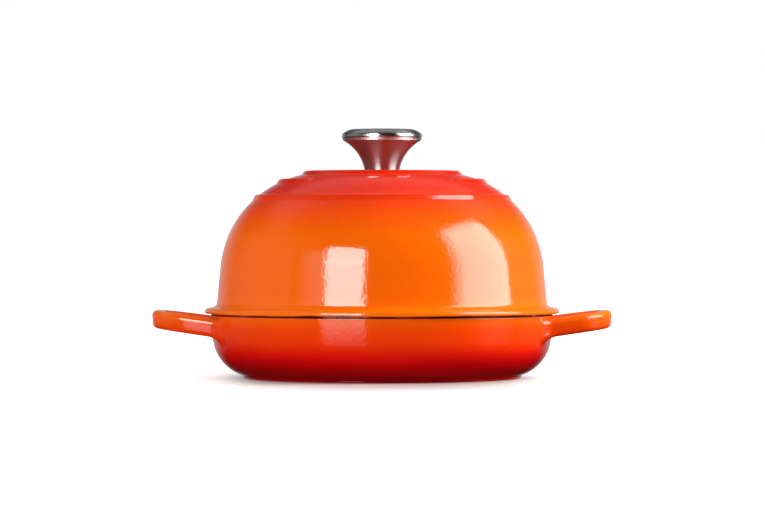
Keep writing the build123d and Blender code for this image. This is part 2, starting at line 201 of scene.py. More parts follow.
class DishSizes(bpy.types.PropertyGroup):
    """Sizes of the dish casting."""

    rim_radius: length("Rim radius", "Radius of the dish's rim", 127.9)
    height: length("Height", "Height of the dish's rim over the floor", 46.5)
    wall: length("Wall", "Thickness of the casting", 4.2)
    rim_glaze: length("Rim glaze", "Width of the rim's top that has the outside's enamel", 1.0)
    flare: angle("Flare", "Lean of the wall from upright", 8.3)
    round_radius: length("Bottom round", "Radius of the round from the wall into the underside", 31.0)
    underside: length("Underside", "Height of the underside over the floor", 0.9)
    foot_radius: length("Foot radius", "Outer radius of the foot ring", 103.2)
    foot_width: length("Foot width", "Width of the foot ring", 9.0)
    ridge_first: length("First ridge", "Radius of the innermost ridge on the cooking floor", 30.0)
    ridge_pitch: length("Ridge pitch", "Distance from ridge to ridge", 10.0)
    ridge_width: length("Ridge width", "Width of a ridge", 3.6)
    ridge_height: length("Ridge height", "Height of a ridge over the cooking floor", 1.2)


class LoopSizes(bpy.types.PropertyGroup):
    """Sizes of the two loop handles, cast in one with the dish."""

    reach: length("Reach", "Distance from the axis to the outer end of a loop", 170.0)
    end_width: length("End width", "Width over a loop's outer end", 72.0)
    splay: angle("Splay", "Angle by which the side bars open towards the dish", 12.8)
    bar: length("Bar", "Thickness of the bar in plan", 10.5)
    corner_radius: length("Corner radius", "Radius of the loop's outer corners in plan", 32.0)
    depth: length("Depth", "Height of the bar where it meets the rim's radius", 13.8)
    top_drop: length("Top drop", "Drop of the bar's top under the rim, at the rim's radius", 1.0)
    top_tilt: angle("Top tilt", "Rise of the bar's top outwards", 7.4)
    underside_tilt: angle("Underside tilt", "Rise of the bar's underside outwards", 8.0)
    draft: angle("Draft", "Lean of the bar's sides from upright", 4.0)
    top_rounding: length("Top rounding", "Rounding of the bar's upper edges", 4.2)
    low_rounding: length("Lower rounding", "Rounding of the bar's lower edges", 3.4)
    root_side: length("Root flare", "How far a bar flares sideways into the dish's wall", 11.0)
    root_top: length("Upper root flare", "How far it flares sideways at its top", 6.5)
    root_hole: length("Hole side flare", "How far a bar flares into the wall at the finger hole", 8.5)
    root_under: length("Underside flare", "How far a bar flares downwards into the wall", 6.0)


class KnobSizes(bpy.types.PropertyGroup):
    """Heights of the steel knob at which its finish changes."""

    foot_height: length("Foot height", "Height of the plateau on which the knob stands", 153.3)
    skirt_height: length("Skirt height", "Height of the skirt, up to the seam with the cap", 22.5)
    satin_edge: length("Satin edge", "Height of the cap's satin lower edge over the seam", 1.3)


class EnamelLook(bpy.types.PropertyGroup):
    """Colours and surface of the enamel."""

    crown: colour("Crown", "Red of the lid's top", shade(223, 38, 9))
    shoulder: colour("Shoulder", "Red orange of the lid's shoulder", shade(238, 62, 16))
    haunch: colour("Haunch", "Reddish orange over the lid's wall", shade(248, 84, 10))
    body: colour("Body", "Orange of the lid's wall", shade(250, 104, 0))
    # Flange: painted light, lighter orange for the light that falls from above on the flange's top
    flange: colour("Flange", "Light orange of the lid's flange", shade(252, 112, 2))
    # Seam: painted shade, a dark red that stands in for the shade in the gap under the flange
    seam: colour("Seam", "Dark red of the gap under the flange", shade(92, 3, 2))
    # Loop end: partly the enamel's gradient, partly painted light on the loops' tops
    loop_end: colour("Loop end", "Light orange of the loops' outer ends", shade(251, 122, 16))
    lip: colour("Dish lip", "Orange of the dish's topmost edge", shade(250, 98, 4))
    rim: colour("Dish rim", "Orange of the dish's rim", shade(249, 92, 2))
    high_belly: colour("Upper belly", "Red orange of the dish's wall under its rim", shade(243, 70, 2))
    belly: colour("Belly", "Red orange of the dish's wall", shade(240, 60, 4))
    # Lower belly, upper round and lower round: the enamel's own deep red plus painted shade where the dish
    # turns under
    low_belly: colour("Lower belly", "Red where the dish's wall turns inwards", shade(222, 22, 8))
    high_round: colour("Upper round", "Deep red of the dish's bottom round", shade(194, 3, 8))
    low_round: colour("Lower round", "Darkest red, beside the foot ring", shade(168, 2, 6))
    foot: colour("Foot", "Deep red of the dish's underside", shade(186, 2, 4))
    inside: colour("Inside", "Black of the enamel inside", shade(30, 29, 29))
    gloss: factor("Gloss", "Roughness of the glossy enamel", 0.07)
    peel: length("Orange peel", "Depth of the fine waviness", 0.085)
    wave: length("Waves", "Depth of the slow waviness of the casting", 0.12)


class SteelLook(bpy.types.PropertyGroup):
    """Colours and surface of the steel."""

    bright: colour("Bright steel", "Polished stainless steel of the knob", (0.62, 0.61, 0.60))
    satin: colour("Satin steel", "Skirt of the knob", (0.34, 0.335, 0.345))
    dull: colour("Dull steel", "Insert, screw and washer", (0.6, 0.59, 0.58))
    polish: factor("Polish", "Roughness of the polished steel", 0.17)
    dull_polish: factor("Dull polish", "Roughness of the dull steel", 0.28)


class StudioLook(bpy.types.PropertyGroup):
    """Camera and lamps."""

    distance: length("Distance", "Distance from the camera to the middle of the cloche", 2869.0)
    eye_height: length("Eye height", "Height of the camera over the floor", 107.5)
    aim_height: length("Aim height", "Height of the point in the middle of the picture", 91.0)
    aim_side: length("Aim side", "Sideways place of the camera", 0.4)
    picture_width: length("Picture width", "Width of the picture at the middle of the cloche", 567.0)
    ambient: factor("Ambient", "Even light from the white room", 0.73, 5.0)
    rear: factor("Rear", "Brightness behind the cloche in reflections", 0.4, 5.0)
    sides: factor("Sides", "Brightness beside the cloche in reflections", 0.28, 5.0)
    overhead: factor("Overhead", "Brightness over the cloche in reflections", 0.32, 5.0)
    key: factor("Key", "Power of the lamp at the front right, in watts", 7.0, 100.0)
    fill: factor("Fill", "Power of the lamp at the left, in watts", 8.0, 100.0)
    side: factor("Side", "Power of the lamp at the right, in watts", 47.0, 100.0)
    window: factor("Softbox", "Brightness of the softboxes in reflections", 13.5, 100.0)


class ClocheSettings(bpy.types.PropertyGroup):
    """All settings of the cloche."""

    lid: bpy.props.PointerProperty(type=LidSizes)
    dish: bpy.props.PointerProperty(type=DishSizes)
    loops: bpy.props.PointerProperty(type=LoopSizes)
    knob: bpy.props.PointerProperty(type=KnobSizes)
    enamel: bpy.props.PointerProperty(type=EnamelLook)
    steel: bpy.props.PointerProperty(type=SteelLook)
    studio: bpy.props.PointerProperty(type=StudioLook)


# Shaders


class Value:
    """A number socket of a shader, on which arithmetic adds Math nodes."""

    def __init__(self, graph, socket):
        self.graph = graph
        self.socket = socket

    def math(self, operation, *operands):
        node = self.graph.add("ShaderNodeMath", {"operation": operation}, dict(enumerate(operands)))
        return node.value(0)

    def __add__(self, other):
        return self.math("ADD", self, other)

    def __radd__(self, other):
        return self.math("ADD", other, self)

    def __sub__(self, other):
        return self.math("SUBTRACT", self, other)

    def __rsub__(self, other):
        return self.math("SUBTRACT", other, self)

    def __mul__(self, other):
        return self.math("MULTIPLY", self, other)

    def __rmul__(self, other):
        return self.math("MULTIPLY", other, self)

    def __truediv__(self, other):
        return self.math("DIVIDE", self, other)

    def __pow__(self, other):
        return self.math("POWER", self, other)


class Placed:
    """A node that has its settings and links."""

    def __init__(self, graph, node):
        self.graph = graph
        self.node = node

    def value(self, name):
        return Value(self.graph, self.node.outputs[name])


class Graph:
    """The node tree of one material, or of the world."""

    def __init__(self, tree):
        self.tree = tree
        tree.nodes.clear()

    def add(self, kind, settings=None, sockets=None):
        """Add a node of a type, with its settings, and then the values or links of its sockets.

        The stops of a ramp are a setting too, as (place, colour) pairs.
        """
        node = self.tree.nodes.new(kind)
        for name, value in (settings or {}).items():
            if name == "stops":
                ramp = node.color_ramp.elements
                while len(ramp) < len(value):
                    ramp.new(1.0)
                for stop, (place, tint) in zip(ramp, value):
                    stop.position = place
                    stop.color = (*tint, 1.0)
            else:
                setattr(node, name, value)
        for name, value in (sockets or {}).items():
            socket = node.inputs[name]
            if isinstance(value, Value):
                self.tree.links.new(value.socket, socket)
            elif isinstance(value, tuple) and socket.type == "RGBA" and len(value) == 3:
                socket.default_value = (*value, 1.0)
            else:
                socket.default_value = value
        return Placed(self, node)

    def place(self):
        """Place in the piece's own frame."""
        return self.add("ShaderNodeTexCoord").value("Object")

    def axes(self, vector):
        """The three numbers of a vector."""
        parts = self.add("ShaderNodeSeparateXYZ", {}, {0: vector})
        return parts.value("X"), parts.value("Y"), parts.value("Z")

    def noise(self, size, detail=2.0, roughness=0.5, vector=None):
        """Noise whose blobs have about the given size in metres."""
        sockets = {
            "Vector": vector or self.place(),
            "Scale": 1.0 / size,
            "Detail": detail,
            "Roughness": roughness,
        }
        return self.add("ShaderNodeTexNoise", {}, sockets).value("Fac")

    def fade(self, value, start, end):
        """A smooth step from 0 at the start to 1 at the end."""
        sockets = {"Value": value, "From Min": start, "From Max": end}
        settings = {"interpolation_type": "SMOOTHSTEP"}
        return self.add("ShaderNodeMapRange", settings, sockets).value("Result")

    def blend(self, share, first, second):
        """Mix two colours."""
        settings = {"data_type": "RGBA", "blend_type": "MIX"}
        return self.add("ShaderNodeMix", settings, {0: share, 6: first, 7: second}).value(2)

    def bump(self, height, distance=1.0):
        """A bumped normal from a height, which the distance multiplies to metres."""
        sockets = {"Height": height, "Distance": distance, "Strength": 1.0}
        return self.add("ShaderNodeBump", {}, sockets).value("Normal")

    def principled(self, sockets):
        """End a material with the principled shader."""
        self.surface(self.add("ShaderNodeBsdfPrincipled", {}, sockets).value("BSDF"))

    def surface(self, shader, output="ShaderNodeOutputMaterial"):
        """Link a shader to the output."""
        self.add(output, {}, {"Surface": shader})


def new_material(name):
    """An empty node material and its graph."""
    material = bpy.data.materials.new(name)
    material.use_nodes = True
    return material, Graph(material.node_tree)


def enamel(name, stops, look):
    """Glossy enamel whose colour runs through (height in millimetres, colour's name) stops."""
    material, graph = new_material(name)
    low, high = stops[0][0] * MM, stops[-1][0] * MM
    ramp_stops = [((height * MM - low) / (high - low), getattr(look, tint)[:]) for height, tint in stops]
    drift = (graph.noise(0.035, 3.0) - 0.5) * 0.004
    _, _, up = graph.axes(graph.place())
    share = (up + drift - low) / (high - low)
    tint = graph.add("ShaderNodeValToRGB", {"stops": ramp_stops}, {"Fac": share}).value("Color")
    darker = graph.add("ShaderNodeHueSaturation", {}, {"Value": 0.72, "Color": tint}).value("Color")
    mottle = graph.fade(graph.noise(0.006, 4.0, 0.6), 0.35, 0.75)
    tint = graph.blend(mottle * 0.07, tint, darker)
    specks = graph.fade(graph.noise(0.0007, 1.0), 0.69, 0.74)
    tint = graph.blend(specks * 0.35, tint, (0.16, 0.01, 0.004))
    waviness = graph.noise(0.0023, 1.0) * look.peel + graph.noise(0.017, 1.0) * look.wave
    graph.principled({
        "Base Color": tint,
        "Roughness": look.gloss + (graph.noise(0.02, 3.0) - 0.5) * 0.04,
        "Normal": graph.bump(waviness),
        "IOR": ENAMEL_IOR,
    })
    return material


def black_enamel(name, look):
    """Matt black enamel of the inside, with a fine sandy grain."""
    material, graph = new_material(name)
    grain = graph.noise(0.0006, 2.0, 0.6)
    cloud = graph.noise(0.012, 3.0)
    tint = graph.blend(graph.fade(grain, 0.3, 0.8) * 0.5, look.inside[:], (0.035, 0.033, 0.031))
    pale = graph.fade(graph.noise(0.0011, 1.0), 0.70, 0.76)
    graph.principled({
        "Base Color": graph.blend(pale * 0.6, tint, (0.11, 0.105, 0.1)),
        "Roughness": 0.44 + cloud * 0.16,
        "Normal": graph.bump(grain * 0.00006 + cloud * 0.00012),
        "IOR": ENAMEL_IOR,
    })
    return material


def bare_foot(name):
    """Ground cast iron of the foot ring, dark with a little rust."""
    material, graph = new_material(name)
    grain = graph.noise(0.0009, 3.0, 0.6)
    stain = graph.fade(graph.noise(0.011, 3.0), 0.5, 0.75)
    tint = graph.blend(graph.fade(grain, 0.3, 0.7), (0.045, 0.042, 0.04), (0.12, 0.112, 0.105))
    graph.principled({
        "Base Color": graph.blend(stain * 0.45, tint, (0.11, 0.045, 0.022)),
        "Roughness": 0.55 + grain * 0.2,
        "Normal": graph.bump(grain * 0.00008),
    })
    return material


def steel(name, tint, polish, turned=0.5, satin_below=None, stretch=0.0, metal=1.0):
    """Stainless steel with fine turned lines around the knob's axis.

    It is satin below a height, if one is given. The turned lines stretch highlights across themselves, by
    a share from 0 to 1.
    """
    material, graph = new_material(name)
    x, y, z = graph.axes(graph.place())
    radius = (x * x + y * y) ** 0.5
    line_place = graph.add("ShaderNodeCombineXYZ", {}, {"X": radius * 40.0, "Y": z * 40.0, "Z": x * 0.4})
    lines = graph.noise(0.008, 3.0, 0.7, line_place.value("Vector"))
    smudge = graph.noise(0.012, 3.0)
    rough = polish + lines * (0.10 * turned) + graph.fade(smudge, 0.5, 0.8) * 0.03
    if satin_below:
        rough = rough + graph.fade(z, satin_below + 0.6 * MM, satin_below) * 0.3
    darker = tuple(part * 0.85 for part in tint)
    graph.principled({
        "Base Color": graph.blend(graph.fade(smudge, 0.35, 0.8) * 0.1, tint, darker),
        "Metallic": metal,
        "Roughness": rough,
        "Normal": graph.bump(lines, 0.000012 * turned),
        "Anisotropic": stretch,
        "Anisotropic Rotation": 0.25,
    })
    return material


# Meshes


def rounded_path(corners):
    """Points of a closed section whose (radius, height, rounding, finish) corners are rounded.

    Returns (radius, height, finish) points. A finish holds from its corner to the next one.
    """
    least_turn, room_share = 0.02, 0.49
    turn_step, arc_step = math.radians(9.0), 2.6 * MM
    points = []
    count = len(corners)
    for place, (radius, height, rounding, finish) in enumerate(corners):
        here = Vector((radius, height))
        before = Vector(corners[place - 1][:2])
        after = Vector(corners[(place + 1) % count][:2])
        into = (here - before).normalized()
        out = (after - here).normalized()
        turn = math.acos(max(-1.0, min(1.0, into.dot(out))))
        if rounding <= 0.0 or turn < least_turn:
            points.append((radius, height, finish))
            continue
        run = rounding * math.tan(turn / 2)
        room = room_share * min((here - before).length, (after - here).length)
        if run > room:
            rounding *= room / run
            run = room
        side = 1.0 if into.x * out.y - into.y * out.x > 0.0 else -1.0
        start = here - into * run
        centre = start + Vector((-into.y, into.x)) * rounding * side
        steps = max(3, math.ceil(turn / turn_step), math.ceil(turn * rounding / arc_step))
        for step in range(steps + 1):
            swing = side * turn * step / steps
            spoke = start - centre
            cosine, sine = math.cos(swing), math.sin(swing)
            point = centre + Vector((spoke.x * cosine - spoke.y * sine, spoke.x * sine + spoke.y * cosine))
            points.append((point.x, point.y, finish))
    return points


def divided(points, longest):
    """A closed section with its long runs divided, and short runs beside the corners."""
    result = []
    count = len(points)
    for place, (radius, height, finish) in enumerate(points):
        after = points[(place + 1) % count]
        run = math.hypot(after[0] - radius, after[1] - height)
        result.append((radius, height, finish))
        if run > 1.5 * longest:
            beside = 0.12 * longest / run
            steps = math.ceil(run / longest)
            for share in (beside, *(step / steps for step in range(1, steps)), 1 - beside):
                result.append(
                    (radius + (after[0] - radius) * share, height + (after[1] - height) * share, finish)
                )
    return result


def turned_mesh(name, section, columns, height_at=None):
    """A closed section revolved about the upright axis, with columns at the given angles.

    The section runs with its material on the right, and its points on the axis become one vertex each.
    """
    vertices, faces, finishes = [], [], []
    count = len(section)
    on_axis = {}
    for place, (radius, height, _) in enumerate(section):
        if radius < 0.0001 * MM:
            on_axis[place] = len(vertices)
            vertices.append((0.0, 0.0, height))
    first_turned = len(vertices)
    for turn in columns:
        cosine, sine = math.cos(turn), math.sin(turn)
        for radius, height, _ in section:
            level = height_at(radius, height, turn) if height_at else height
            vertices.append((radius * cosine, radius * sine, level))
    for column in range(len(columns)):
        first = first_turned + column * count
        second = first_turned + (column + 1) % len(columns) * count
        for place in range(count):
            following = (place + 1) % count
            corners = [first + place, first + following, second + following, second + place]
            for index, at in enumerate((place, following, following, place)):
                corners[index] = on_axis.get(at, corners[index])
            corners = list(dict.fromkeys(corners))
            if len(corners) > 2:
                faces.append(corners)
                finishes.append(section[place][2])
    mesh = bpy.data.meshes.new(name)
    mesh.from_pydata(vertices, [], faces)
    mesh.polygons.foreach_set("material_index", finishes)
    mesh.polygons.foreach_set("use_smooth", [True] * len(faces))
    if on_axis:
        drop_loose(mesh)
    mesh.update()
    return mesh


def drop_loose(mesh):
    """Remove the vertices that no face uses."""
    work = bmesh.new()
    work.from_mesh(mesh)
    loose = [vertex for vertex in work.verts if not vertex.link_faces]
    bmesh.ops.delete(work, geom=loose, context="VERTS")
    work.to_mesh(mesh)
    work.free()


def joined(name, meshes):
    """One mesh of several closed shells, which keeps their finishes and smoothness."""
    work = bmesh.new()
    for mesh in meshes:
        work.from_mesh(mesh)
        bpy.data.meshes.remove(mesh)
    mesh = bpy.data.meshes.new(name)
    work.to_mesh(mesh)
    work.free()
    return mesh


def tube_faces(rows, count):
    """Faces between rows of points, where each row closes on itself."""
    faces = []
    for row in range(rows - 1):
        first, second = row * count, (row + 1) * count
        for index in range(count):
            following = (index + 1) % count
            faces.append((first + index, second + index, second + following, first + following))
    return faces


def placed(mesh, body, slot, materials, *nodes):
    """An object for a mesh, which rides on a body and stands for CAD nodes."""
    piece = bpy.data.objects.new(mesh.name, mesh)
    bpy.context.scene.collection.objects.link(piece)
    for material in materials:
        mesh.materials.append(material)
    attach(piece, body)
    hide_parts(*nodes)


def dress(node, material):
    """Give a CAD node a material."""
    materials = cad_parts[node].data.materials
    materials.clear()
    materials.append(material)


class LidShape:
    """Section of the lid, worked out from its sizes."""

    def __init__(self, sizes):
        self.sizes = sizes
        self.lean = math.tan(sizes.draft)
        self.top = sizes.seat_height + sizes.dome_height
        self.centre_height = self.top - sizes.crown_radius
        self.centre = self.wall_radius(self.centre_height) - sizes.crown_radius / math.cos(sizes.draft)

    def wall_radius(self, height):
        """Radius of the wall's outer face at a height."""
        return self.sizes.seat_radius - (height - self.sizes.seat_height) * self.lean

    def crown_height(self, radius):
        """Height of the plain crown at a radius."""
        out = max(radius - self.centre, 0.0)
        return self.centre_height + math.sqrt(self.sizes.crown_radius**2 - out**2)

    def crown_radius(self, height):
        """Radius of the plain crown at a height."""
        return self.centre + math.sqrt(self.sizes.crown_radius**2 - (height - self.centre_height) ** 2)

    def crown_points(self, inner, outer, inset=0.0):
        """Points on the crown's arc between two radii, without its ends."""
        arc = self.sizes.crown_radius - inset
        first = math.asin((inner - self.centre) / arc)
        last = math.asin((outer - self.centre) / arc)
        steps = max(2, math.ceil((last - first) * arc / CROWN_RUN))
        turns = [first + (last - first) * step / steps for step in range(1, steps)]
        return [
            (self.centre + arc * math.sin(turn), self.centre_height + arc * math.cos(turn))
            for turn in turns
        ]

    def ring(self, radius, rise, run):
        """Corners of a step ring: where its top leaves the crown, its edge and the foot of its side."""
        top = self.crown_height(radius) + rise
        foot = radius + run
        return (self.crown_radius(top), top), (radius, top), (foot, self.crown_height(foot))

    def section(self):
        """Corners of the section, from the screw's hole outwards over the top and back along the inside."""
        sizes = self.sizes
        plateau = self.top + sizes.plateau_rise
        plateau_foot = sizes.plateau_radius + sizes.plateau_run
        corners = [
            (sizes.hole_radius, plateau, 0.4 * MM, OUTSIDE),
            (sizes.plateau_radius, plateau, sizes.ring_rounding, OUTSIDE),
            (plateau_foot, self.crown_height(plateau_foot), 0.8 * MM, OUTSIDE),
        ]
        middle = self.ring(sizes.middle_radius, sizes.middle_rise, sizes.middle_run)
        shoulder = self.ring(sizes.shoulder_radius, sizes.shoulder_rise, sizes.shoulder_run)
        middle_roundings = (5.0 * MM, sizes.ring_rounding, 2.5 * MM)
        shoulder_roundings = (3.0 * MM, sizes.shoulder_rounding, 3.0 * MM)
        start = plateau_foot
        for ring, roundings in ((middle, middle_roundings), (shoulder, shoulder_roundings)):
            corners += [(r, z, 0.0, OUTSIDE) for r, z in self.crown_points(start, ring[0][0])]
            corners += [(r, z, rounding, OUTSIDE) for (r, z), rounding in zip(ring, roundings)]
            start = ring[-1][0]
        wall_top = self.centre_height + sizes.crown_radius * math.sin(sizes.draft)
        wall_start = self.wall_radius(wall_top)
        corners += [(r, z, 0.0, OUTSIDE) for r, z in self.crown_points(start, wall_start)]
        corners.append((wall_start, wall_top, 0.0, OUTSIDE))
        return corners + self.flange_corners() + self.inside_corners()

    def flange_corners(self):
        """Corners of the flange, the seat under it and the centring lip."""
        sizes = self.sizes
        foot = sizes.seat_height + sizes.flange_relief
        edge_top = foot + sizes.flange_thickness
        inner = self.wall_radius(edge_top)
        slope_top = edge_top + (sizes.flange_radius - inner) * math.tan(sizes.flange_slope)
        lip = sizes.seat_height - sizes.lip_depth
        return [
            (self.wall_radius(slope_top), slope_top, sizes.flange_root, OUTSIDE),
            (sizes.flange_radius, edge_top, sizes.flange_rounding, OUTSIDE),
            (sizes.flange_radius, foot, 0.9 * MM, OUTSIDE),
            # The seat step has the outside enamel, which the seam stop paints dark red as shade in the gap
            (sizes.seat_edge, foot, 0.3 * MM, OUTSIDE),
            (sizes.seat_edge, sizes.seat_height, 0.3 * MM, INSIDE),
            (sizes.lip_radius + sizes.lip_draw, sizes.seat_height, 0.4 * MM, INSIDE),
            (sizes.lip_radius, lip, 0.8 * MM, INSIDE),
        ]

    def inside_corners(self):
        """Corners of the inside, from the lip's foot up the wall and over to the screw's hole."""
        sizes = self.sizes
        lip = sizes.seat_height - sizes.lip_depth
        inset = sizes.wall / math.cos(sizes.draft)
        arc_foot = self.centre_height + (sizes.crown_radius - sizes.wall) * math.sin(sizes.draft)
        arc_start = self.wall_radius(arc_foot) - inset
        ceiling = self.top - sizes.wall
        corners = [
            (self.wall_radius(lip) - inset, lip, 0.6 * MM, INSIDE),
            (arc_start, arc_foot, 0.0, INSIDE),
        ]
        points = self.crown_points(self.centre + 0.1 * MM, arc_start, sizes.wall)
        corners += [(r, z, 0.0, INSIDE) for r, z in reversed(points)]
        corners += [(self.centre, ceiling, 0.0, INSIDE), (sizes.hole_radius, ceiling, 0.4 * MM, INSIDE)]
        return corners

    def columns(self):
        """Angles of the columns around the lid, closer together at the ends of the middle ring."""
        sizes = self.sizes
        ends = [side * (sizes.middle_gap / 2 + sizes.middle_taper / 2) - math.pi / 2 for side in (-1, 1)]
        pitch = 2 * math.pi / COLUMNS
        close = 6
        angles = []
        for step in range(COLUMNS):
            turn = step * pitch - math.pi
            angles.append(turn)
            if min(abs(turn - end) for end in ends) < sizes.middle_taper:
                angles += [turn + pitch * part / close for part in range(1, close)]
        return angles

    def height_at(self, radius, height, turn):
        """Height of a point of the section at an angle: the middle ring sinks into the crown in front."""
        sizes = self.sizes
        ring_start = sizes.plateau_radius + sizes.plateau_run + 3 * MM
        ring_end = sizes.shoulder_radius - 8 * MM
        if not ring_start < radius < ring_end:
            return height
        crown = self.crown_height(radius)
        if height < crown - 1.5 * MM:
            return height
        away = abs((turn + 1.5 * math.pi) % (2 * math.pi) - math.pi)
        share = min(max((away - sizes.middle_gap / 2) / sizes.middle_taper, 0.0), 1.0)
        return crown + (height - crown) * share * share * (3 - 2 * share)


class CLOCHE_OT_lid(bpy.types.Operator):
    """Build the lid as one enamelled casting"""

    bl_idname = "cloche.lid"
    bl_label = "Lid"

    def execute(self, context):
        settings = context.scene.cloche
        shape = LidShape(settings.lid)
        section = divided(rounded_path(shape.section()), SECTION_RUN)
        mesh = turned_mesh("lid_casting", section, shape.columns(), shape.height_at)
        finishes = [
            enamel("lid enamel", LID_STOPS, settings.enamel),
            black_enamel("lid inside enamel", settings.enamel),
        ]
        placed(mesh, "lid", "lid_enamel", finishes, "lid")
        return {"FINISHED"}


class DishShape:
    """Section of the dish, worked out from its sizes."""

    def __init__(self, sizes):
        self.sizes = sizes
        self.lean = math.tan(sizes.flare)
        radius = sizes.round_radius
        self.round_height = sizes.underside + radius
        foot_run = radius * math.tan(math.pi / 4 - sizes.flare / 2)
        self.round_centre = self.wall_line(sizes.underside) - foot_run
        self.round_top = self.round_height - radius * math.sin(sizes.flare)

    def wall_line(self, height):
        """Radius of the wall's straight outer face."""
        return self.sizes.rim_radius - (self.sizes.height - height) * self.lean

    def outer(self, height):
        """Radius of the outer face, and its lean from upright there."""
        if height >= self.round_top:
            return self.wall_line(height), self.sizes.flare
        drop = self.round_height - height
        radius = self.sizes.round_radius
        return self.round_centre + math.sqrt(radius**2 - drop**2), math.asin(drop / radius)

    def arc(self, radius, first, last):
        """Points of the bottom round at a radius, between two angles from straight down."""
        steps = max(2, math.ceil(abs(last - first) * radius / ROUND_RUN))
        turns = [first + (last - first) * step / steps for step in range(steps + 1)]
        return [
            (self.round_centre + radius * math.sin(turn), self.round_height - radius * math.cos(turn))
            for turn in turns
        ]

    def section(self):
        """Corners of the section, from the middle of the cooking floor outwards and back underneath."""
        sizes = self.sizes
        floor = sizes.underside + sizes.wall
        quarter = math.pi / 2 - sizes.flare
        points = [(0.0, floor, 0.0, INSIDE)]
        half = sizes.ridge_width / 2
        ridge_foot, ridge_edge = half + 0.3 * MM, 0.45 * half
        ridge_top = floor + 0.93 * sizes.ridge_height
        ridge = sizes.ridge_first
        while ridge + half < self.round_centre:
            points += [
                (ridge - ridge_foot, floor, 0.5 * MM, INSIDE),
                (ridge - ridge_edge, ridge_top, 0.8 * MM, INSIDE),
                (ridge + ridge_edge, ridge_top, 0.8 * MM, INSIDE),
                (ridge + ridge_foot, floor, 0.5 * MM, INSIDE),
            ]
            ridge += sizes.ridge_pitch
        inner_arc = self.arc(sizes.round_radius - sizes.wall, 0.0, quarter)
        points += [(radius, height, 0.0, INSIDE) for radius, height in inner_arc]
        bore = sizes.rim_radius - sizes.wall / math.cos(sizes.flare)
        points += [
            (bore, sizes.height, 0.8 * MM, INSIDE),
            (sizes.rim_radius - sizes.rim_glaze, sizes.height, 0.0, OUTSIDE),
            (sizes.rim_radius, sizes.height, 1.6 * MM, OUTSIDE),
        ]
        foot_turn = math.asin((sizes.foot_radius - self.round_centre) / sizes.round_radius)
        outer_arc = self.arc(sizes.round_radius, quarter, foot_turn)
        points += [(radius, height, 0.0, OUTSIDE) for radius, height in outer_arc]
        foot_inner = sizes.foot_radius - sizes.foot_width
        points += [
            (sizes.foot_radius, 0.0, 1.4 * MM, OUTSIDE),
            (sizes.foot_radius - 1.6 * MM, 0.0, 0.0, BARE),
            (foot_inner, 0.0, 0.5 * MM, OUTSIDE),
            (foot_inner, sizes.underside, 0.3 * MM, OUTSIDE),
            (0.0, sizes.underside, 0.0, OUTSIDE),
        ]
        return points


